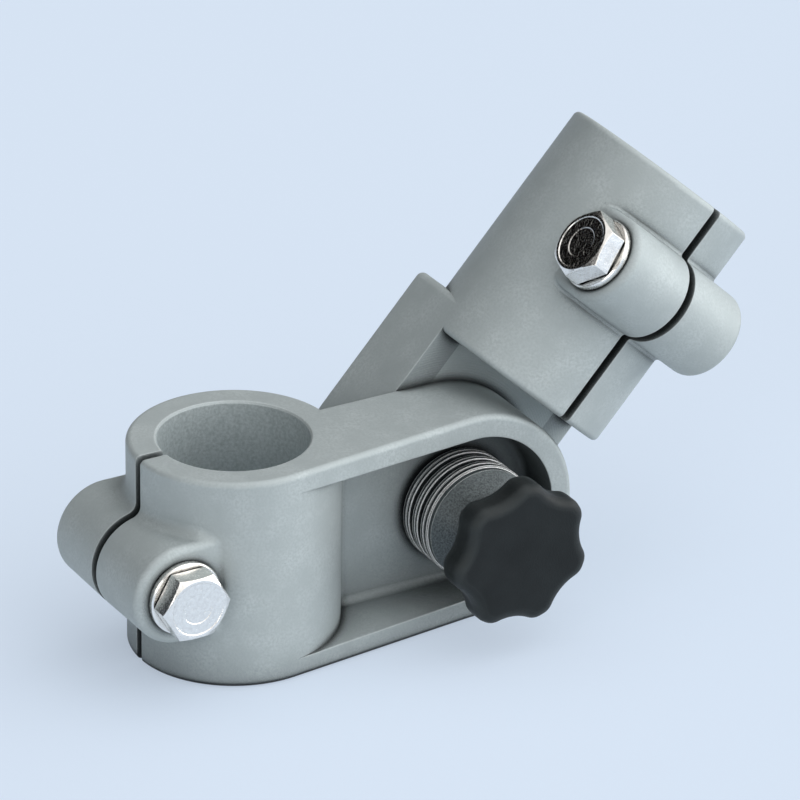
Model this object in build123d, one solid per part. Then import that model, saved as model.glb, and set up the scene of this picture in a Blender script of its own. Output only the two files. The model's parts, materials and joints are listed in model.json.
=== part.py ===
from build123d import *
import os
from math import acos, atan2, degrees, radians, tan

# Pivot joint for two round tubes. A lower clamp grips an upright tube, an upper clamp
# grips the tube that swings, and a star knob tightens the pivot between their arms
# against a stack of disc springs.
#
# Millimetres. The origin is the centre of the lower clamp's bore. +Z runs up the lower
# tube, +X points at the pivot, and the pivot axis is parallel to Y. The knob is on -Y.

# Tubes and the clamps around them
tube_diameter = 40.0         # round tube in each clamp
clamp_wall = 8.0             # casting around each tube
slit_width = 2.6             # gap that the clamping bolt closes
bore_chamfer = 0.5           # lead-in at both ends of each bore
edge_round = 1.5             # rounded outer ends of the clamps

# Lower clamp: its tube crosses the arm
lower_height = 59.0          # along the tube, and the width of the arm
pivot_reach = 60.5           # lower tube axis to pivot axis

# Upper clamp: its tube runs on from the arm
upper_length = 68.0          # along the tube
upper_start = 34.5           # pivot axis to the near end of the clamp
upper_offset = 1.5           # upper tube axis behind the lower tube axis
upper_arm_half = 27.9        # half width of the arm, just inside the barrel's radius
flange_reach = 44.0          # pivot axis to the far end of the arm's side walls
rest_angle = 47.5            # rise of the upper tube above the lower arm

# Arms
face_offset = 2.4            # lower arm's mating face behind the lower tube axis
face_gap = 0.1               # running gap between the mating faces
web_thickness = 11.4         # floor of each arm's recess
lower_arm_depth = 23.7       # mating face to rim of the lower arm at the pivot
front_blend = 60.0           # lower arm's front, where its taper meets the flat round end
upper_arm_depth = 22.8       # mating face to rim of the upper arm
rim_wall = 7.2               # wall around each recess, at its foot
recess_draft = 5.0           # casting draft of the recess walls, degrees
rim_round = 1.5              # outer edge of a rim
flange_round = 2.0           # corners at the far end of the upper arm
floor_round = 2.0            # foot of a recess wall
corner_radius = 5.0          # corners of the upper arm's recess
seat_pad_height = 1.3        # machined pad round the pivot hole, under the springs
seat_pad_radius = 14.5

# Clamping bosses
boss_half_length = 22.65     # slit plane to the end of a boss
boss_draft = 0.5             # casting draft of the bosses, degrees
boss_round = 2.0             # edge of a boss end
lower_boss_reach = 27.0      # lower tube axis to its clamping bolt
lower_boss_radius = 14.0
lower_boss_blend = 3.0       # foot of the boss on its clamp
upper_boss_reach = 27.5      # upper tube axis to its clamping bolt
upper_boss_radius = 12.6
upper_boss_blend = 1.0
upper_boss_station = 74.5    # pivot axis to the upper clamping bolt, along the tube

# Clamping bolts, M10
clamp_thread = 10.0
clamp_hole = 11.0            # clearance hole through a boss
clamp_bolt_length = 50.0
clamp_bolt_flats = 17.0
clamp_head_height = 6.4
clamp_nut_height = 8.0
clamp_washer_diameter = 20.0
clamp_washer_bore = 10.5
clamp_washer_thickness = 2.0
nut_pocket_depth = 9.0
pocket_clearance = 0.1       # each side of a hexagon in its pocket
thread_clearance = 0.05      # radial, screw in its thread

# Pivot bolt, M12
pivot_thread = 12.0
pivot_bolt_length = 50.0
pivot_bolt_flats = 18.0
pivot_head_height = 7.5
pivot_pocket_depth = 5.0
pivot_fit = 0.05             # radial running fit on the pivot bolt

# Edges and cutters
bolt_point_chamfer = 1.0
washer_chamfer = 0.35
overrun = 1.0                # how far a cutter runs past the metal

# Disc springs, washers and pressure collar
spring_diameter = 31.5
spring_bore = 16.3
spring_thickness = 1.25
spring_cone = 0.9            # free cone height of one spring
spring_count = 4
stack_washer_thickness = 2.0
spigot_clearance = 0.08      # radial, springs on the collar's spigot
spigot_length = 8.0
collar_rim = 1.3             # cylindrical edge of the collar
collar_inset = 0.5           # collar radius inside the springs' radius
collar_cone = 5.6            # height of the cone
collar_nose_radius = 9.5

# Star knob
knob_gap = 0.1               # running gap between collar and hub
hub_radius = 10.2
hub_length = 6.4
knob_thickness = 10.2
knob_radius = 20.1           # over the lobes
knob_valley_radius = 17.6    # between the lobes
lobe_count = 7
lobe_phase = 31.2            # first lobe from +X, degrees
scallop_radius = 13.0
lobe_round = 4.5             # lobe corners, in plan
knob_front_round = 2.4
knob_back_round = 4.0
core_inner_radius = 11.5     # moulded groove around the hub
core_outer_radius = 14.0
core_depth = 6.0
insert_radius = 7.6
insert_length = 14.0         # from the hub face, and longer than the bolt's end in it

# Places worked out from the sizes
tube_radius = tube_diameter / 2
clamp_radius = tube_radius + clamp_wall
lower_arm_half = lower_height / 2
lower_web_y = face_offset - web_thickness
upper_face_y = face_offset + face_gap
upper_web_y = upper_face_y + web_thickness
spring_height = spring_thickness + spring_cone
seat_y = lower_web_y - seat_pad_height
springs_y = seat_y - stack_washer_thickness
thrust_y = springs_y - spring_count * spring_height
collar_y = thrust_y - stack_washer_thickness
hub_y = collar_y - collar_rim - collar_cone - knob_gap
pivot_head_y = upper_web_y - pivot_pocket_depth
spigot_radius = spring_bore / 2 - spigot_clearance
collar_radius = spring_diameter / 2 - collar_inset

# The pivot axis, and the upper clamp's own frame: x along its tube, y along the pivot
pivot = Location((pivot_reach, 0, 0))
upper_frame = pivot * Rotation(0, -rest_angle, 0)

# A boss is drawn with its tube axis on Z, its bolt along Y at -X and the bolt's head on -Y
upper_boss_frame = Plane((upper_boss_station, upper_offset, 0), x_dir=(0, 1, 0), z_dir=(-1, 0, 0)).location


def turned(*points):
    """Solid of revolution about Y from (radius, y) corners."""
    return revolve(make_face(Polyline(*points, close=True)), Axis.Y)


def upright(face, y, depth):
    """A face drawn in X and Z, stood at y and given depth towards -Y."""
    return extrude(Plane.XZ.offset(-y) * face, amount=depth)


def edges_at(solid, axis, value):
    """The edges that lie flat at one place along an axis."""
    return solid.edges().filter_by_position(axis, value - 0.01, value + 0.01)


def clamp_barrel(length):
    """Outer cylinder of a clamp on Z, centred, with rounded ends."""
    barrel = Cylinder(clamp_radius, length)
    return fillet(barrel.edges().filter_by(GeomType.CIRCLE), edge_round)


def bore_cutter(length):
    """Bore on Z, centred, with a chamfer at both ends."""
    flare = tube_radius + bore_chamfer
    end = Pos(0, 0, length / 2 - bore_chamfer / 2) * Cone(tube_radius, flare, bore_chamfer)
    return Cylinder(tube_radius, length) + end + mirror(end, Plane.XY)


def arm_outline(half_width, reach):
    """Round end at the origin, with straight sides out to x = reach."""
    return Circle(half_width) + Pos(reach / 2, 0) * Rectangle(abs(reach), 2 * half_width)


def boss(radius, reach):
    """Clamping boss on Y, its bolt at x = -reach, flat sides running in to x = 0."""
    outline = Pos(-reach, 0) * arm_outline(radius, reach)
    half = extrude(Plane.XZ * outline, amount=boss_half_length, taper=boss_draft)
    half = fillet(edges_at(half, Axis.Y, -boss_half_length), boss_round)
    return half + mirror(half, Plane.XZ)


def boss_cutter(reach):
    """Bolt hole and nut pocket of a boss, its bolt at x = -reach."""
    hole = upright(Circle(clamp_hole / 2), boss_half_length + overrun, 2 * (boss_half_length + overrun))
    pocket = RegularPolygon(clamp_bolt_flats / 2 + pocket_clearance, 6, major_radius=False)
    pocket = upright(pocket, boss_half_length + overrun, nut_pocket_depth + overrun)
    return Pos(-reach, 0, 0) * (hole + pocket)


def blended(body, added, radius):
    """A body with another solid added, and a fillet all along the seam between them."""
    joined = body + added
    return fillet(new_edges(body, added, combined=joined), radius)


def recess_cutter(outline, floor_y, opens_to):
    """Cutter for an arm's recess: outline at its floor, drafted walls, open towards +Y (1) or -Y (-1)."""
    floor = Plane((0, floor_y, 0), x_dir=(1, 0, 0), z_dir=(0, opens_to, 0))
    return extrude(floor * outline, amount=lower_arm_depth, taper=-recess_draft)


def pivot_hole_cutter():
    """Running hole for the pivot bolt, through either arm."""
    return upright(Circle(pivot_thread / 2 + pivot_fit), 2 * web_thickness, 4 * web_thickness)


def slit_cutter(length):
    """Slit of a clamp, from its bore out through the boss at -X."""
    return Pos(-2 * clamp_radius, 0, 0) * Box(4 * clamp_radius - tube_radius, slit_width, 2 * length)


def lower_clamp_outline():
    """Outline across the lower tube: a round barrel, and an arm whose front leaves it on a tangent."""
    rim_y = face_offset - lower_arm_depth
    tip = pivot_reach + lower_arm_half
    front = Vector(pivot_reach, rim_y)
    touch_angle = degrees(atan2(front.Y, front.X) - acos(clamp_radius / front.length))
    touch = Vector(clamp_radius, 0).rotate(Axis.Z, touch_angle)
    arm = make_face(Polyline((0, face_offset), touch, front, (tip, rim_y), (tip, face_offset), close=True))
    outline = Circle(clamp_radius) + arm
    return fillet(outline.vertices().sort_by_distance(front)[0], front_blend)


def lower_clamp_body():
    """Casting that grips the upright tube, with its arm towards the pivot."""
    side = arm_outline(lower_arm_half, -2 * pivot_reach)
    body = extrude(lower_clamp_outline(), amount=lower_arm_half, both=True)
    body &= pivot * upright(side, 2 * clamp_radius, 4 * clamp_radius)
    across = body.edges().filter_by(Axis.Y) + body.edges().filter_by(Axis.Z)
    body = fillet(body.edges() - across - edges_at(body, Axis.Y, face_offset), rim_round)
    recess = pivot * recess_cutter(arm_outline(lower_arm_half - rim_wall, -pivot_reach), lower_web_y, -1)
    recess -= Cylinder(clamp_radius, 2 * lower_height)
    body -= fillet(edges_at(recess, Axis.Y, lower_web_y), floor_round)
    body += pivot * upright(Circle(seat_pad_radius), lower_web_y + overrun, seat_pad_height + overrun)
    body = blended(body, boss(lower_boss_radius, lower_boss_reach), lower_boss_blend)
    body -= bore_cutter(lower_height)
    body -= boss_cutter(lower_boss_reach)
    body -= slit_cutter(lower_height)
    body -= pivot * pivot_hole_cutter()
    return body


def upper_clamp_body():
    """Casting that grips the swinging tube, in its own frame with the pivot at the origin."""
    rim_y = upper_face_y + upper_arm_depth
    arm = upright(arm_outline(upper_arm_half, flange_reach), rim_y, upper_arm_depth)
    arm = fillet(arm.edges().filter_by(Axis.Y).sort_by(Axis.X)[-2:], flange_round)
    arm = fillet(edges_at(arm, Axis.Y, rim_y), rim_round)
    floor = arm_outline(upper_arm_half - rim_wall, upper_start - rim_wall)
    floor = fillet(floor.vertices().sort_by(Axis.X)[-2:], corner_radius)
    recess = recess_cutter(floor, upper_web_y, 1)
    arm -= fillet(edges_at(recess, Axis.Y, upper_web_y), floor_round)
    barrel_place = Pos(upper_start + upper_length / 2, upper_offset, 0) * Rotation(0, 90, 0)
    body = arm + barrel_place * clamp_barrel(upper_length)
    body = blended(body, upper_boss_frame * boss(upper_boss_radius, upper_boss_reach), upper_boss_blend)
    body -= barrel_place * bore_cutter(upper_length)
    body -= upper_boss_frame * boss_cutter(upper_boss_reach)
    body -= upper_boss_frame * slit_cutter(upper_length)
    body -= pivot_hole_cutter()
    head_pocket = RegularPolygon(pivot_bolt_flats / 2 + pocket_clearance, 6, major_radius=False)
    body -= upright(head_pocket, upper_web_y + overrun, pivot_pocket_depth + overrun)
    return body


def hexagon(flats, height, chamfer_foot):
    """Hexagon on +Z from z = 0, chamfered at 30 degrees on top, and at its foot if asked."""
    corner = flats / 3 ** 0.5
    fall = (corner - flats / 2) * tan(radians(30))
    foot = [(flats / 2, 0), (corner, fall)] if chamfer_foot else [(corner, 0)]
    outline = Polyline((0, 0), *foot, (corner, height - fall), (flats / 2, height), (0, height), close=True)
    prism = extrude(RegularPolygon(flats / 2, 6, major_radius=False), amount=height)
    return prism & revolve(Plane.XZ * make_face(outline), Axis.Z)


def hexagon_bolt(thread, length, flats, head_height):
    """Bolt with its bearing face at z = 0, head on +Z and shank on -Z."""
    shank = Pos(0, 0, -length / 2) * Cylinder(thread / 2, length)
    shank = chamfer(edges_at(shank, Axis.Z, -length), bolt_point_chamfer)
    return hexagon(flats, head_height, False) + shank


def hexagon_nut(thread, flats, height):
    """Nut on +Z from z = 0."""
    return hexagon(flats, height, True) - Cylinder(thread / 2 + thread_clearance, 3 * height)


def flat_washer(outer_diameter, inner_diameter, thickness):
    """Washer on +Z from z = 0, its outer edges broken."""
    disc = extrude(Circle(outer_diameter / 2), amount=thickness)
    disc = chamfer(disc.edges().filter_by(GeomType.CIRCLE), washer_chamfer)
    return disc - Cylinder(inner_diameter / 2, 3 * thickness)


def clamp_fasteners(boss_frame, reach):
    """Washer, bolt and nut of a boss, in place in the frame of that boss."""
    head_face = Plane((-reach, -boss_half_length, 0), x_dir=(1, 0, 0), z_dir=(0, -1, 0)).location
    place = boss_frame * head_face
    nut_seat = 2 * boss_half_length - nut_pocket_depth + clamp_nut_height
    washer = flat_washer(clamp_washer_diameter, clamp_washer_bore, clamp_washer_thickness)
    bolt = hexagon_bolt(clamp_thread, clamp_bolt_length, clamp_bolt_flats, clamp_head_height)
    nut = hexagon_nut(clamp_thread, clamp_bolt_flats, clamp_nut_height)
    bolt = Pos(0, 0, clamp_washer_thickness) * bolt
    nut = Pos(0, 0, -nut_seat) * nut
    return place * washer, place * bolt, place * nut


def pivot_bolt():
    """Bolt through both arms, its head held in the hexagon of the upper arm."""
    head_place = Plane((0, pivot_head_y, 0), x_dir=(1, 0, 0), z_dir=(0, 1, 0)).location
    return head_place * hexagon_bolt(pivot_thread, pivot_bolt_length, pivot_bolt_flats, pivot_head_height)


def stack_washer(back_y):
    """Flat washer at one end of the springs, its back face at back_y."""
    place = Plane((0, back_y, 0), x_dir=(1, 0, 0), z_dir=(0, -1, 0)).location
    return place * flat_washer(spring_diameter, spring_bore, stack_washer_thickness)


def disc_spring(number):
    """Conical disc spring of the stack. They alternate, so rims and bores meet in turn."""
    back_y = springs_y - number * spring_height
    front_y = back_y - spring_height
    rim_y, bore_y = (back_y, front_y) if number % 2 == 0 else (front_y, back_y)
    step = spring_thickness if rim_y < bore_y else -spring_thickness
    rim, bore = spring_diameter / 2, spring_bore / 2
    return turned((rim, rim_y), (rim, rim_y + step), (bore, bore_y), (bore, bore_y - step))


def pressure_collar():
    """Turned collar that the knob pushes on. Its spigot centres the springs on the bolt."""
    bolt_hole = pivot_thread / 2 + pivot_fit
    cone_y = collar_y - collar_rim
    nose_y = cone_y - collar_cone
    spigot_y = collar_y + spigot_length
    spigot = [(bolt_hole, spigot_y), (spigot_radius, spigot_y), (spigot_radius, collar_y)]
    rim = [(collar_radius, collar_y), (collar_radius, cone_y)]
    nose = [(collar_nose_radius, nose_y), (bolt_hole, nose_y)]
    return turned(*spigot, *rim, *nose)


def knob_insert():
    """Threaded bush moulded into the knob's hub, with a blind thread."""
    bush_y = hub_y - insert_length
    thread = pivot_thread / 2 + thread_clearance
    return turned((thread, hub_y), (insert_radius, hub_y), (insert_radius, bush_y), (thread, bush_y))


def knob_body():
    """Moulded star knob: lobed grip, hub, and a groove around the hub to even the walls."""
    back_y = hub_y - hub_length
    front_y = back_y - knob_thickness
    grip = Circle(knob_radius)
    scallop_reach = knob_valley_radius + scallop_radius
    for index in range(lobe_count):
        valley = lobe_phase + 360 * (index + 0.5) / lobe_count
        grip -= Rot(0, 0, valley) * Pos(scallop_reach, 0) * Circle(scallop_radius)
    grip = fillet(grip.vertices(), lobe_round)
    grip = upright(grip, back_y, knob_thickness)
    grip = fillet(edges_at(grip, Axis.Y, front_y), knob_front_round)
    grip = fillet(edges_at(grip, Axis.Y, back_y), knob_back_round)
    groove = Circle(core_outer_radius) - Circle(core_inner_radius)
    groove = upright(groove, back_y + overrun, core_depth + overrun)
    hub = upright(Circle(hub_radius), hub_y, hub_length + overrun)
    socket = upright(Circle(insert_radius), hub_y + overrun, insert_length + overrun)
    return grip - groove + hub - socket


lower_washer, lower_bolt, lower_nut = clamp_fasteners(Location(), lower_boss_reach)
upper_washer, upper_bolt, upper_nut = clamp_fasteners(upper_frame * upper_boss_frame, upper_boss_reach)

pieces = {
    "lower_clamp_body": lower_clamp_body(),
    "lower_bolt_washer": lower_washer,
    "lower_clamp_bolt": lower_bolt,
    "lower_clamp_nut": lower_nut,
    "upper_clamp_body": upper_frame * upper_clamp_body(),
    "upper_bolt_washer": upper_washer,
    "upper_clamp_bolt": upper_bolt,
    "upper_clamp_nut": upper_nut,
    "pivot_bolt": upper_frame * pivot_bolt(),
    "spring_seat_washer": pivot * stack_washer(seat_y),
    "thrust_washer": pivot * stack_washer(thrust_y),
    "pressure_collar": pivot * pressure_collar(),
    "knob_insert": pivot * knob_insert(),
    "knob_body": pivot * knob_body(),
}
for number in range(spring_count):
    pieces[f"disc_spring_{number + 1}"] = pivot * disc_spring(number)

os.makedirs("parts", exist_ok=True)
for name, shape in pieces.items():
    export_step(shape, f"parts/{name}.step")
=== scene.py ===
import json
from math import atan2, cos, pi, radians, sin, tan, tau

import bmesh
import bpy
from mathutils import Matrix, Vector


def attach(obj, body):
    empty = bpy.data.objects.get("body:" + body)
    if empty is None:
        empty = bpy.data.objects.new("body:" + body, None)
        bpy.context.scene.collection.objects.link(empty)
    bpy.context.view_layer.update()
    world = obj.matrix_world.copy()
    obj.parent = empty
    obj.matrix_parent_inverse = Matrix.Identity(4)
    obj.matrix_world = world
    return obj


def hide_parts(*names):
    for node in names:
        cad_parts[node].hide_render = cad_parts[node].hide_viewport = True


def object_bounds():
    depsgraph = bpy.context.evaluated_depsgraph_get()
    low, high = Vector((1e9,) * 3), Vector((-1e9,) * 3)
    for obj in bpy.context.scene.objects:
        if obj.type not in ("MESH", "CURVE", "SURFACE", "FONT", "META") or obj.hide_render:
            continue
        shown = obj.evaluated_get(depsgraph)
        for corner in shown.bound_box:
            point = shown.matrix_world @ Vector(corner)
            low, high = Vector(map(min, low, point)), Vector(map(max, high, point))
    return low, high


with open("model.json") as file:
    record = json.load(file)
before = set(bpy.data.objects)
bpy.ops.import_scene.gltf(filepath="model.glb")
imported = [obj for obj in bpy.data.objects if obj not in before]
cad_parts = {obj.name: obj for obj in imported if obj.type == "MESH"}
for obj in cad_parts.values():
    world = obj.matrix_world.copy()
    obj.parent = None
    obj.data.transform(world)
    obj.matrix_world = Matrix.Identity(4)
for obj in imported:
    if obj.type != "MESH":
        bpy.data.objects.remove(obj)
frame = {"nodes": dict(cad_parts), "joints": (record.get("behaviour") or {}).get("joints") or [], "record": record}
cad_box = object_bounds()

nodes = frame["nodes"]

# Camera. A long lens in front and to the left of the lower clamp, looking down on it, so
# that the knob, both clamping bolts and the mouth of the lower bore are seen together.
view_azimuth = radians(-30.065)
view_elevation = radians(26.188)
view_roll = radians(0.640)
view_distance = 1.72305
view_target = Vector((0.04956, 0.0, 0.02806))
view_lens = 296.05
sensor_width = 36.0

to_camera = Vector((sin(view_azimuth) * cos(view_elevation),
                    -cos(view_azimuth) * cos(view_elevation),
                    sin(view_elevation)))
level = Vector((cos(view_azimuth), sin(view_azimuth), 0.0))
upward = to_camera.cross(level)
camera_right = level * cos(view_roll) + upward * sin(view_roll)
camera_up = upward * cos(view_roll) - level * sin(view_roll)
camera_data = bpy.data.cameras.new("camera")
camera_data.sensor_width = sensor_width
camera_data.lens = view_lens
camera = bpy.data.objects.new("camera", camera_data)
turned_to_target = Matrix((camera_right, camera_up, to_camera)).transposed().to_4x4()
camera.matrix_world = Matrix.Translation(view_target + to_camera * view_distance) @ turned_to_target
bpy.context.scene.collection.objects.link(camera)
bpy.context.scene.camera = camera


# Stage. The lower clamp stands on a wide pale floor, in a studio that is bright in front on
# the right and overhead and black behind on the left, with a soft lamp on either side.
floor_seen = (0.672, 0.768, 0.896, 1.0)
floor_lighting = (0.70, 0.735, 0.76, 1.0)
floor_glow = 0.55            # share of the floor seen as a lit backdrop, where shadows stay faint
floor_reach = 8.0
floor_squares = 8
wall_direction = Vector((0.80, -0.60, 0.0))
ceiling_direction = Vector((0.0, 0.0, 1.0))
black = (0.0, 0.0, 0.0, 1.0)
white = (1.0, 1.0, 1.0, 1.0)
wall_stops = [(0.42, black), (1.0, white)]
wall_power = 2.05
ceiling_stops = [(0.82, black), (0.95, white)]
ceiling_power = 0.97
# place, width, height and power of each lamp, all turned to the middle of the joint
lamps = {
    "lamp_right": ((2.20, -1.10, 0.55), 1.6, 1.2, 12.5),
    "lamp_left": ((-2.20, -1.40, 0.90), 1.4, 1.4, 17.0),
}


def add(tree, kind, inputs=None, **properties):
    """A node in a tree, with its properties, and its inputs as values or as links from sockets."""
    node = tree.nodes.new(kind)
    for name, value in properties.items():
        setattr(node, name, value)
    for name, value in (inputs or {}).items():
        if isinstance(value, bpy.types.NodeSocket):
            tree.links.new(value, node.inputs[name])
        else:
            node.inputs[name].default_value = value
    return node


def ramp(tree, factor, stops):
    """Colour ramp from (position, colour) stops."""
    node = add(tree, "ShaderNodeValToRGB", {"Fac": factor})
    elements = node.color_ramp.elements
    for index, (position, colour) in enumerate(stops):
        element = elements[index] if index < 2 else elements.new(position)
        element.position = position
        element.color = colour
    return node.outputs["Color"]


def maths(tree, operation, first, second=0.0, third=0.0, clamped=False):
    """A sum, product, comparison or other operation on numbers."""
    return add(tree, "ShaderNodeMath", {0: first, 1: second, 2: third}, operation=operation,
               use_clamp=clamped).outputs[0]


def mix(tree, factor, first, second):
    """The first colour where the factor is 0 and the second where it is 1."""
    return add(tree, "ShaderNodeMix", {0: factor, 6: first, 7: second}, data_type="RGBA").outputs[2]


def material(name):
    """A new material, its node tree and its shader."""
    made = bpy.data.materials.new(name)
    made.use_nodes = True
    return made, made.node_tree, made.node_tree.nodes["Principled BSDF"]


floor_shape = bmesh.new()
bmesh.ops.create_grid(floor_shape, x_segments=floor_squares, y_segments=floor_squares, size=floor_reach)
bmesh.ops.translate(floor_shape, verts=floor_shape.verts, vec=(0.0, 0.0, cad_box[0].z))
floor_mesh = bpy.data.meshes.new("floor")
floor_shape.to_mesh(floor_mesh)
floor_shape.free()
floor = bpy.data.objects.new("floor", floor_mesh)
bpy.context.scene.collection.objects.link(floor)
floor_paint, floor_tree, floor_shader = material("floor_paint")
floor_path = add(floor_tree, "ShaderNodeLightPath").outputs
floor_is_seen = maths(floor_tree, "MAXIMUM", floor_path["Is Camera Ray"], floor_path["Is Glossy Ray"])
floor_is_seen = maths(floor_tree, "MAXIMUM", floor_is_seen, floor_path["Is Transmission Ray"])
floor_colour = mix(floor_tree, floor_is_seen, floor_lighting, floor_seen)
floor_tree.links.new(floor_colour, floor_shader.inputs["Base Color"])
floor_lit = add(floor_tree, "ShaderNodeEmission", {"Color": floor_seen, "Strength": 1.0}).outputs[0]
glow_share = maths(floor_tree, "MULTIPLY", floor_is_seen, floor_glow)
floor_mixed = add(floor_tree, "ShaderNodeMixShader",
                  {0: glow_share, 1: floor_shader.outputs[0], 2: floor_lit}).outputs[0]
floor_tree.links.new(floor_mixed, floor_tree.nodes["Material Output"].inputs["Surface"])
floor_shader.inputs["Roughness"].default_value = 1.0
floor_shader.inputs["Specular IOR Level"].default_value = 0.0
floor_mesh.materials.append(floor_paint)

studio = bpy.data.worlds.new("studio")
bpy.context.scene.world = studio
studio.use_nodes = True
studio_tree = studio.node_tree
studio_direction = add(studio_tree, "ShaderNodeTexCoord").outputs["Generated"]


def glow(direction, stops, power):
    """Light from one side of the studio. Its stops run from 0, right behind, to 1, straight ahead."""
    towards = add(studio_tree, "ShaderNodeVectorMath", {0: studio_direction, 1: direction},
                  operation="DOT_PRODUCT").outputs["Value"]
    colour = ramp(studio_tree, maths(studio_tree, "MULTIPLY_ADD", towards, 0.5, 0.5), stops)
    return add(studio_tree, "ShaderNodeBackground", {"Color": colour, "Strength": power}).outputs[0]


wall_glow = glow(wall_direction, wall_stops, wall_power)
ceiling_glow = glow(ceiling_direction, ceiling_stops, ceiling_power)
studio_light = add(studio_tree, "ShaderNodeAddShader", {0: wall_glow, 1: ceiling_glow}).outputs[0]
studio_tree.links.new(studio_light, studio_tree.nodes["World Output"].inputs["Surface"])

for lamp_name, (place, width, height, power) in lamps.items():
    lamp_data = bpy.data.lights.new(lamp_name, "AREA")
    lamp_data.shape = "RECTANGLE"
    lamp_data.size = width
    lamp_data.size_y = height
    lamp_data.energy = power
    lamp = bpy.data.objects.new(lamp_name, lamp_data)
    lamp.location = place
    lamp.rotation_euler = (Vector(place) - view_target).to_track_quat("Z", "Y").to_euler()
    bpy.context.scene.collection.objects.link(lamp)

bpy.context.scene.view_settings.view_transform = "Standard"


# Clamp castings. The two clamps are die castings in aluminium, tumbled to an even satin grey.
# Their corners and slits carry painted shade and their edges a painted highlight. The bores
# are reamed, and the mating faces are turned about the pivot, so both show the marks of their tools.
cast_light = (0.470, 0.522, 0.530, 1.0)
cast_dark = (0.385, 0.432, 0.440, 1.0)
cast_pit = (0.26, 0.30, 0.31, 1.0)
# colours of the painted edge highlight, of the painted shade in corners and of the painted shade in slits
cast_edge_highlight = (0.62, 0.67, 0.68, 1.0)
cast_corner_shade = (0.026, 0.036, 0.039, 1.0)
cast_slot_shade = (0.004, 0.006, 0.0065, 1.0)
bore_light = (0.50, 0.56, 0.57, 1.0)
bore_dark = (0.36, 0.41, 0.42, 1.0)
grain_size = 0.00065
cloud_size = 0.009
pit_size = 0.0022
reamed_size = 0.0008
turned_ring = 0.0007         # from one turned ring of a mating face to the next
skin_relief = 0.00005        # height of the grain and of the tool marks
cast_edge_radius = 0.0006        # radius of the rounded edges and of their painted highlight
corner_shade_reach = 0.020         # how far out of a corner the painted shade runs
corner_shade_open = (0.74, 0.20)   # openness at which the painted shade begins, and where it is full
slot_shade_reach = 0.0035          # the same two for the painted shade in a sawn slit
slot_shade_open = (0.85, 0.60)
edge_highlight_open = (0.75, 0.95)     # an edge more open than this gets the painted highlight
bore_margin = 0.00005        # past the bore's radius, so that its facets count as bore
face_margin = 0.00003        # the same on both sides of a mating face
# where each mating face lies across the pivot
arm_faces = {"lower_clamp_body": 0.0024, "upper_clamp_body": 0.0025}
pivot_axis = (0.0, 1.0, 0.0)
tube_bores = {mount["name"]: mount for mount in frame["record"]["mounts"]}
pivot_place = Vector(frame["joints"][0]["pos_m"])


def object_place(tree):
    """Object coordinates, which are metres in the frame of the whole part."""
    return add(tree, "ShaderNodeTexCoord").outputs["Object"]


def noise(tree, place, size, detail=2.0, roughness=0.5, stretch=(1.0, 1.0, 1.0)):
    """Noise whose blotches are about size metres across."""
    scaled = add(tree, "ShaderNodeVectorMath", {0: place, 1: stretch}, operation="MULTIPLY").outputs[0]
    inputs = {"Vector": scaled, "Scale": 1.0 / size, "Detail": detail, "Roughness": roughness}
    return add(tree, "ShaderNodeTexNoise", inputs).outputs["Fac"]


def band(tree, factor, low, high):
    """0 at low and 1 at high, with a straight run between them. Low may be the greater one."""
    inputs = {"Value": factor, "From Min": low, "From Max": high}
    return add(tree, "ShaderNodeMapRange", inputs).outputs[0]


def between(tree, factor, first, second):
    """A number from first to second as the factor goes from 0 to 1."""
    inputs = {"Value": factor, "To Min": first, "To Max": second}
    return add(tree, "ShaderNodeMapRange", inputs).outputs[0]


def rounded_normal(tree, radius, turned_by=0.90):
    """Normal that runs round edges, and how far it is turned, up to 1 at the cosine turned_by."""
    soft = add(tree, "ShaderNodeBevel", {"Radius": radius}, samples=4).outputs[0]
    hard = add(tree, "ShaderNodeNewGeometry").outputs["Normal"]
    cosine = add(tree, "ShaderNodeVectorMath", {0: soft, 1: hard}, operation="DOT_PRODUCT").outputs["Value"]
    return soft, band(tree, cosine, 1.0, turned_by)


def openness(tree, reach):
    """1 on open surfaces, falling to 0 deep in corners and slots narrower than the reach."""
    return add(tree, "ShaderNodeAmbientOcclusion", {"Distance": reach}, samples=6).outputs["AO"]


def relief(tree, height, depth, normal=None):
    """Normal of a surface that rises with a height between 0 and 1."""
    inputs = {"Height": height, "Strength": 1.0, "Distance": depth}
    if normal is not None:
        inputs["Normal"] = normal
    return add(tree, "ShaderNodeBump", inputs).outputs[0]


def round_axis(tree, place, centre, axis):
    """A place in the frame of an axis, and its distance from that axis."""
    turn = Vector(axis).to_track_quat("Z", "X").to_euler()
    there = add(tree, "ShaderNodeMapping", {"Vector": place, "Location": centre, "Rotation": turn},
                vector_type="TEXTURE").outputs[0]
    across = add(tree, "ShaderNodeVectorMath", {0: there, 1: (1.0, 1.0, 0.0)},
                 operation="MULTIPLY").outputs[0]
    return there, add(tree, "ShaderNodeVectorMath", {0: across}, operation="LENGTH").outputs["Value"]


def finish_node(node_name, finish):
    """Gives a CAD node its finish."""
    slots = nodes[node_name].data.materials
    slots.clear()
    slots.append(finish)


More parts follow.
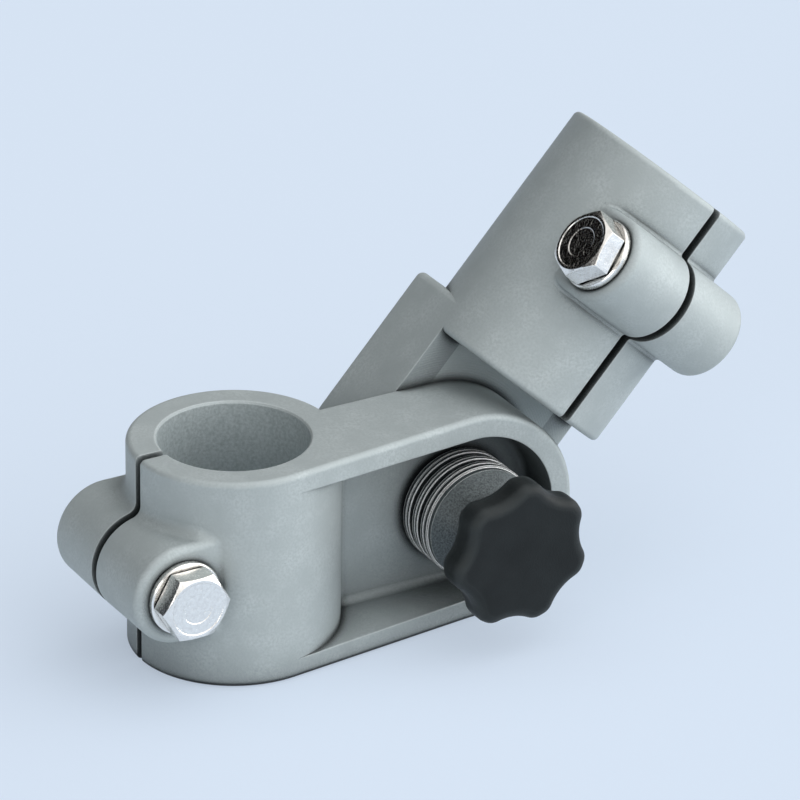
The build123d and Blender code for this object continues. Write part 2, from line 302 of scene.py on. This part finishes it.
def cast_aluminium(node_name, bore):
    """Tumbled casting, reamed in its bore and turned on its mating face."""
    made, tree, shader = material("cast_" + node_name)
    place = object_place(tree)
    open_air = openness(tree, corner_shade_reach)
    slot_air = openness(tree, slot_shade_reach)
    soft, near_edge = rounded_normal(tree, cast_edge_radius)

    # the cast skin, clouded, grained and pitted
    grain = noise(tree, place, grain_size, 2.0, 0.55)
    cloud = noise(tree, place, cloud_size, 3.0, 0.55)
    pits = noise(tree, place, pit_size, 4.0, 0.7)
    skin = mix(tree, band(tree, cloud, 0.3, 0.7), cast_dark, cast_light)
    skin = mix(tree, band(tree, grain, 0.62, 0.34), skin, cast_dark)
    skin = mix(tree, band(tree, pits, 0.30, 0.24), skin, cast_pit)

    # the reamed bore
    in_bore, radius = round_axis(tree, place, bore["pos_m"], bore["axis"])
    bore_mask = maths(tree, "LESS_THAN", radius, bore["dims"]["r_mm"] / 1000.0 + bore_margin)
    reamed = noise(tree, in_bore, reamed_size, 3.0, 0.6)
    reamed_colour = mix(tree, band(tree, reamed, 0.32, 0.66), bore_dark, bore_light)

    # the mating face, turned in rings round the pivot
    depth = add(tree, "ShaderNodeSeparateXYZ", {"Vector": place}).outputs["Y"]
    face_mask = maths(tree, "COMPARE", depth, arm_faces[node_name], face_margin)
    ring_radius = round_axis(tree, place, pivot_place, pivot_axis)[1]
    rings = maths(tree, "SINE", maths(tree, "MULTIPLY", ring_radius, tau / turned_ring))
    rings = maths(tree, "MULTIPLY_ADD", rings, 0.5, 0.5)
    turned_colour = mix(tree, band(tree, rings, 0.0, 1.4), skin, cast_dark)

    # painted shade in corners and recesses, painted shade in slits, painted highlight on edges
    colour = mix(tree, face_mask, mix(tree, bore_mask, skin, reamed_colour), turned_colour)
    outside = maths(tree, "SUBTRACT", 1.0, bore_mask)
    corner_shade = maths(tree, "MULTIPLY", band(tree, open_air, *corner_shade_open), outside)
    colour = mix(tree, corner_shade, colour, cast_corner_shade)
    colour = mix(tree, band(tree, slot_air, *slot_shade_open), colour, cast_slot_shade)
    edge_highlight = maths(tree, "MULTIPLY", near_edge, band(tree, slot_air, *edge_highlight_open))
    colour = mix(tree, maths(tree, "MULTIPLY", edge_highlight, 0.8), colour, cast_edge_highlight)

    shader.inputs["Metallic"].default_value = 0.30
    tree.links.new(colour, shader.inputs["Base Color"])
    tree.links.new(between(tree, grain, 0.50, 0.66), shader.inputs["Roughness"])
    height = maths(tree, "ADD", grain, maths(tree, "MULTIPLY", bore_mask, reamed))
    height = maths(tree, "ADD", height, maths(tree, "MULTIPLY", face_mask, rings))
    tree.links.new(relief(tree, height, skin_relief, soft), shader.inputs["Normal"])
    return made


finish_node("lower_clamp_body", cast_aluminium("lower_clamp_body", tube_bores["lower_tube_bore"]))
finish_node("upper_clamp_body", cast_aluminium("upper_clamp_body", tube_bores["upper_tube_bore"]))


# Bolts. Cold-forged M10 and M12 hexagon bolts with bare dished heads, zinc plated bright.
# A rolled thread runs to the chamfered end, out of the nut or into the bush of the knob.
# The nuts and the washers under the heads are plated alike.
clamp_bolt = {"thread": 0.010, "flats": 0.017, "head": 0.0064, "pitch": 0.0015}
pivot_bolt = {"thread": 0.012, "flats": 0.018, "head": 0.0075, "pitch": 0.00175}
head_segments = 96
washer_face_height = 0.0004
washer_face_foot = 0.455     # radii of the washer face and the flat top, in widths across flats
washer_face_top = 0.465
flat_top = 0.475
chamfer_slope = tan(radians(30))
forged_round = 0.0003        # foot of the hexagon
chamfer_round = 0.00012
rim_width = 0.0007           # flat rim round the dish
dish_depth = 0.0002
step_radius = 0.55           # the middle of the dish lies deeper, up to this share of its radius
step_depth = 0.00012
threaded_length = 0.016
thread_steps = 32            # in one turn
thread_depth = 0.61          # in pitches
thread_overlap = 0.0004      # how far the thread runs up round the end of the shank
shank_taper = 0.8            # radius of the shank's closed end, as a share of the shank's
shank_taper_length = 0.0006
point_chamfer = 0.001
sharp_from = radians(28)     # edges that turn further than this stay sharp
sorting_way = Vector((0.31, 0.53, 0.79))   # aslant, so that its parts lie at different places along it
zinc_bright = (0.95, 0.93, 0.89, 1.0)
zinc_dull = (0.84, 0.82, 0.785, 1.0)
zinc_shade = (0.10, 0.11, 0.115, 1.0)
scuff_size = 0.0007
plated_edge = 0.00025        # radius of the rounded edges and of their painted highlight
zinc_shade_reach = 0.003


def zinc_plating(name, dimple_size, roughest, depth):
    """Bright plating, faintly dimpled and scuffed, with painted shade where it meets the next piece and a painted
    highlight on its edges.
    """
    made, tree, shader = material(name)
    place = object_place(tree)
    dimples = noise(tree, place, dimple_size, 3.0, 0.6)
    scuff = noise(tree, place, scuff_size, 3.0, 0.7)
    soft, near_edge = rounded_normal(tree, plated_edge)
    colour = mix(tree, band(tree, dimples, 0.32, 0.60), zinc_dull, zinc_bright)
    # painted shade where the plating meets the next piece
    colour = mix(tree, band(tree, openness(tree, zinc_shade_reach), 0.55, 0.10), colour, zinc_shade)
    # painted highlight along the edges
    colour = mix(tree, near_edge, colour, zinc_bright)
    shader.inputs["Metallic"].default_value = 1.0
    tree.links.new(colour, shader.inputs["Base Color"])
    tree.links.new(between(tree, scuff, roughest / 2.0, roughest), shader.inputs["Roughness"])
    height = maths(tree, "ADD", dimples, maths(tree, "MULTIPLY", scuff, 0.25))
    tree.links.new(relief(tree, height, depth, soft), shader.inputs["Normal"])
    return made


def span(node_name, direction):
    """Where a CAD node begins and ends along a direction."""
    places = [vertex.co.dot(direction) for vertex in nodes[node_name].data.vertices]
    return min(places), max(places)


def lathe_frame(node_name, outward, corner):
    """Frame on the axis of a turned node, from its outer end: Z runs outward and X to a corner."""
    across = outward.cross(corner)
    origin = outward * span(node_name, outward)[1]
    for direction in (corner, across):
        origin += direction * sum(span(node_name, direction)) / 2.0
    turned = Matrix((corner, across, outward)).transposed().to_4x4()
    return Matrix.Translation(origin) @ turned


def hexagon_reach(angle, flats):
    """Radius at an angle of a hexagon that has a corner at angle 0."""
    return flats / 2.0 / cos(angle % (pi / 3.0) - pi / 6.0)


def extruded(shape, ring):
    """The vertices, edges and faces of one more row, drawn out from a ring of edges."""
    made = bmesh.ops.extrude_edge_only(shape, edges=ring)["geom"]
    return [[item for item in made if isinstance(item, kind)]
            for kind in (bmesh.types.BMVert, bmesh.types.BMEdge, bmesh.types.BMFace)]


def add_head(shape, shank_ring, flats, height):
    """Bolt head with its top at z = 0, from the shank's ring up to the dish."""
    flat_radius = flats * flat_top
    foot = washer_face_height - height
    rim_inside = flat_radius - rim_width
    step = rim_inside * step_radius
    # inset from the hexagon, round limit, height, and fall for each unit past the flat top
    rows = [(0.0, flats * washer_face_foot, -height, 0.0),
            (0.0, flats * washer_face_top, foot, 0.0),
            (forged_round, flats, foot, 0.0),
            (0.0, flats, foot + forged_round, 0.0),
            (0.0, flats, -chamfer_round, chamfer_slope),
            (chamfer_round, flats, 0.0, chamfer_slope),
            (0.0, flat_radius, 0.0, 0.0),
            (0.0, rim_inside, 0.0, 0.0),
            (0.0, rim_inside - dish_depth, -dish_depth, 0.0),
            (0.0, step + dish_depth, -dish_depth, 0.0),
            (0.0, step, -dish_depth - step_depth, 0.0)]
    ring = shank_ring
    for inset, limit, level, fall in rows:
        corners, ring, faces = extruded(shape, ring)
        for corner in corners:
            angle = atan2(corner.co.y, corner.co.x)
            radius = min(hexagon_reach(angle, flats) - inset, limit)
            corner.co = (radius * cos(angle), radius * sin(angle), level - fall * (radius - flat_radius))
        for face in faces:
            face.material_index = int(limit < rim_inside and level > -height)
    for face in bmesh.ops.edgeloop_fill(shape, edges=ring)["faces"]:
        face.material_index = 1


def add_shank(shape, shank_ring, radius, end):
    """Plain shank down from the head to end, where the thread takes over."""
    ring = shank_ring
    for row_radius, level in ((radius, end), (radius * shank_taper, end - shank_taper_length)):
        corners, ring, _ = extruded(shape, ring)
        for corner in corners:
            across = corner.co.xy.normalized() * row_radius
            corner.co = (across.x, across.y, level)
    bmesh.ops.edgeloop_fill(shape, edges=ring)


def add_thread(shape, radius, pitch, start, end):
    """Rolled thread from start down to end, cut flat at both and chamfered at the end."""
    root = radius - thread_depth * pitch
    first = end - pitch
    # radius, and how far along one pitch
    profile = [(root, 0.0), (root, 0.2), (radius, 0.55), (radius, 0.65), (root, 1.0)]
    turn = [shape.verts.new((across, 0.0, first + along * pitch)) for across, along in profile]
    edges = [shape.edges.new(pair) for pair in zip(turn, turn[1:])]
    turns = int((start - end) / pitch) + 2
    bmesh.ops.spin(shape, geom=turn + edges, axis=(0.0, 0.0, 1.0), dvec=(0.0, 0.0, pitch / thread_steps),
                   angle=tau * turns, steps=thread_steps * turns)
    bmesh.ops.remove_doubles(shape, verts=shape.verts, dist=0.000001)
    for level, side in ((start, 1.0), (end, -1.0)):
        everything = shape.verts[:] + shape.edges[:] + shape.faces[:]
        cut = bmesh.ops.bisect_plane(shape, geom=everything, plane_co=(0.0, 0.0, level),
                                     plane_no=(0.0, 0.0, side), clear_outer=True)["geom_cut"]
        rim = [item for item in cut if isinstance(item, bmesh.types.BMEdge)]
        bmesh.ops.edgeloop_fill(shape, edges=rim)
    for corner in shape.verts:
        limit = radius - point_chamfer + corner.co.z - end
        if corner.co.xy.length > limit:
            across = corner.co.xy.normalized() * limit
            corner.co = (across.x, across.y, corner.co.z)


def add_piece(name, shape, place, finishes):
    """An object from a shape, put in place in its mesh, smooth but for its sharp edges."""
    bmesh.ops.recalc_face_normals(shape, faces=shape.faces)
    bmesh.ops.transform(shape, matrix=place, verts=shape.verts)
    # the extrusions come in another order on each run, so the mesh is put in one order
    shape.verts.sort(key=lambda vertex: vertex.co.dot(sorting_way))
    shape.edges.sort(key=lambda edge: (edge.verts[0].co + edge.verts[1].co).dot(sorting_way))
    shape.faces.sort(key=lambda face: face.calc_center_median().dot(sorting_way))
    mesh = bpy.data.meshes.new(name)
    shape.to_mesh(mesh)
    shape.free()
    mesh.polygons.foreach_set("use_smooth", [True] * len(mesh.polygons))
    mesh.set_sharp_from_angle(angle=sharp_from)
    for finish in finishes:
        mesh.materials.append(finish)
    piece = bpy.data.objects.new(name, mesh)
    bpy.context.scene.collection.objects.link(piece)
    return piece


def hexagon_bolt(name, node_name, body, sizes, outward, corner):
    """A bolt in the place of a CAD bolt, with a corner of its head towards corner."""
    inner_end, outer_end = span(node_name, outward)
    length = outer_end - inner_end
    radius = sizes["thread"] / 2.0
    thread_start = threaded_length - length
    shape = bmesh.new()
    add_thread(shape, radius, sizes["pitch"], thread_start + thread_overlap, -length)
    circle = bmesh.ops.create_circle(shape, segments=head_segments, radius=radius)["verts"]
    bmesh.ops.translate(shape, verts=circle, vec=(0.0, 0.0, -sizes["head"]))
    shank_ring = list(dict.fromkeys(edge for vertex in circle for edge in vertex.link_edges))
    add_shank(shape, shank_ring, radius, thread_start)
    add_head(shape, shank_ring, sizes["flats"], sizes["head"])
    bolt = add_piece(name, shape, lathe_frame(node_name, outward, corner), (zinc, forged_zinc))
    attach(bolt, body)
    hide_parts(node_name)


zinc = zinc_plating("bright_zinc", dimple_size=0.0022, roughest=0.34, depth=0.00006)
forged_zinc = zinc_plating("forged_zinc", dimple_size=0.0011, roughest=0.24, depth=0.00024)
lower_arm = Vector((1.0, 0.0, 0.0))
upper_tube = Vector(tube_bores["upper_tube_bore"]["axis"])
knob_side = Vector((0.0, -1.0, 0.0))
upper_bolt_way = knob_side.cross(upper_tube)
upper_head_turn = radians(17)
upper_corner = knob_side * cos(upper_head_turn) - upper_tube * sin(upper_head_turn)
hexagon_bolt("lower_clamp_screw", "lower_clamp_bolt", "lower_clamp", clamp_bolt, knob_side, lower_arm)
hexagon_bolt("upper_clamp_screw", "upper_clamp_bolt", "upper_clamp", clamp_bolt, upper_bolt_way,
             upper_corner)
hexagon_bolt("pivot_screw", "pivot_bolt", "upper_clamp", pivot_bolt, -knob_side, upper_tube)
for fastener in ("lower_clamp_nut", "upper_clamp_nut", "lower_bolt_washer", "upper_bolt_washer"):
    finish_node(fastener, zinc)


# Spring stack. Four disc springs in alternate directions between two hardened washers.
# They are black from heat treatment, and the edges of their rims carry a painted highlight.
spring_black = (0.006, 0.008, 0.009, 1.0)
spring_grey = (0.030, 0.036, 0.038, 1.0)
spring_edge_highlight = (0.95, 0.97, 0.97, 1.0)
rolling_marks = 0.0009
highlight_width = 0.0005        # of the painted highlight along each edge
highlight_noise_size = 0.004
rolled_relief = 0.00002


def spring_steel():
    """Heat-blackened steel with rolling marks and a painted highlight on the edges."""
    made, tree, shader = material("spring_steel")
    place = object_place(tree)
    streaks = noise(tree, place, rolling_marks, 3.0, 0.6, (1.0, 4.0, 1.0))
    highlight_noise = noise(tree, place, highlight_noise_size)
    soft, near_edge = rounded_normal(tree, highlight_width, turned_by=0.98)
    colour = mix(tree, band(tree, streaks, 0.35, 0.70), spring_black, spring_grey)
    # painted highlight on the edges of the rims
    edge_highlight = maths(tree, "MULTIPLY", near_edge, between(tree, highlight_noise, 1.6, 3.0), clamped=True)
    shader.inputs["Metallic"].default_value = 0.12
    tree.links.new(mix(tree, edge_highlight, colour, spring_edge_highlight), shader.inputs["Base Color"])
    tree.links.new(between(tree, streaks, 0.26, 0.44), shader.inputs["Roughness"])
    tree.links.new(relief(tree, streaks, rolled_relief, soft), shader.inputs["Normal"])
    return made


stack_finish = spring_steel()
for ring_name in ("spring_seat_washer", "disc_spring_1", "disc_spring_2", "disc_spring_3",
                  "disc_spring_4", "thrust_washer"):
    finish_node(ring_name, stack_finish)


# Pressure collar. A steel cone turned on a lathe and blasted dark grey. The knob pushes on
# its nose, and its spigot centres the springs on the pivot bolt.
collar_light = (0.105, 0.125, 0.130, 1.0)
collar_dark = (0.030, 0.038, 0.041, 1.0)
collar_edge_highlight = (0.62, 0.65, 0.65, 1.0)
blasted_grain = 0.00045
blasted_relief = 0.00004
turned_edge = 0.0003         # radius of the collar's edges
shade_reach = 0.009          # how far the painted shade runs out of a corner


def turned_steel():
    """Dark blasted steel with a fine speckle, painted shade in its corners and a painted highlight on its edges.
    """
    made, tree, shader = material("turned_steel")
    place = object_place(tree)
    speckle = noise(tree, place, blasted_grain, 3.0, 0.7)
    soft, near_edge = rounded_normal(tree, turned_edge)
    colour = mix(tree, band(tree, speckle, 0.36, 0.64), collar_dark, collar_light)
    # painted shade in the corners, in the springs' black
    colour = mix(tree, band(tree, openness(tree, shade_reach), 0.85, 0.35), colour, spring_black)
    shader.inputs["Metallic"].default_value = 0.35
    # painted highlight along the edges
    tree.links.new(mix(tree, near_edge, colour, collar_edge_highlight), shader.inputs["Base Color"])
    tree.links.new(between(tree, speckle, 0.38, 0.56), shader.inputs["Roughness"])
    tree.links.new(relief(tree, speckle, blasted_relief, soft), shader.inputs["Normal"])
    return made


finish_node("pressure_collar", turned_steel())


# Star knob. Glass-filled nylon, black and matt from a spark-eroded mould, with a brass bush
# moulded into its hub for the pivot bolt's thread.
knob_black = (0.0050, 0.0072, 0.0078, 1.0)
knob_grey = (0.0085, 0.0115, 0.0125, 1.0)
knob_edge_highlight = (0.035, 0.042, 0.044, 1.0)
brass_light = (0.72, 0.56, 0.27, 1.0)
brass_dark = (0.52, 0.38, 0.16, 1.0)
spark_grain = 0.00045
spark_relief = 0.00004
knob_highlight_radius = 0.0022        # radius over which the knob's edges get a painted highlight
nylon_cloud = 0.009
brass_marks = 0.0008
brass_relief = 0.00002


def black_nylon():
    """Matt moulded plastic with a fine spark-eroded grain and a painted highlight along its edges."""
    made, tree, shader = material("black_nylon")
    place = object_place(tree)
    cloud = noise(tree, place, nylon_cloud)
    spark = noise(tree, place, spark_grain)
    soft, near_edge = rounded_normal(tree, knob_highlight_radius, turned_by=0.975)
    colour = mix(tree, band(tree, cloud, 0.3, 0.7), knob_black, knob_grey)
    shader.inputs["Specular IOR Level"].default_value = 0.24
    # painted highlight along the edges
    tree.links.new(mix(tree, near_edge, colour, knob_edge_highlight), shader.inputs["Base Color"])
    tree.links.new(between(tree, spark, 0.40, 0.58), shader.inputs["Roughness"])
    tree.links.new(relief(tree, spark, spark_relief, soft), shader.inputs["Normal"])
    return made


def turned_brass():
    """Brass with fine turning marks."""
    made, tree, shader = material("turned_brass")
    place = object_place(tree)
    tone = noise(tree, place, brass_marks, 3.0, 0.6, (1.0, 6.0, 1.0))
    colour = mix(tree, band(tree, tone, 0.3, 0.7), brass_dark, brass_light)
    shader.inputs["Metallic"].default_value = 1.0
    tree.links.new(colour, shader.inputs["Base Color"])
    tree.links.new(between(tree, tone, 0.22, 0.38), shader.inputs["Roughness"])
    tree.links.new(relief(tree, tone, brass_relief), shader.inputs["Normal"])
    return made


finish_node("knob_body", black_nylon())
finish_node("knob_insert", turned_brass())
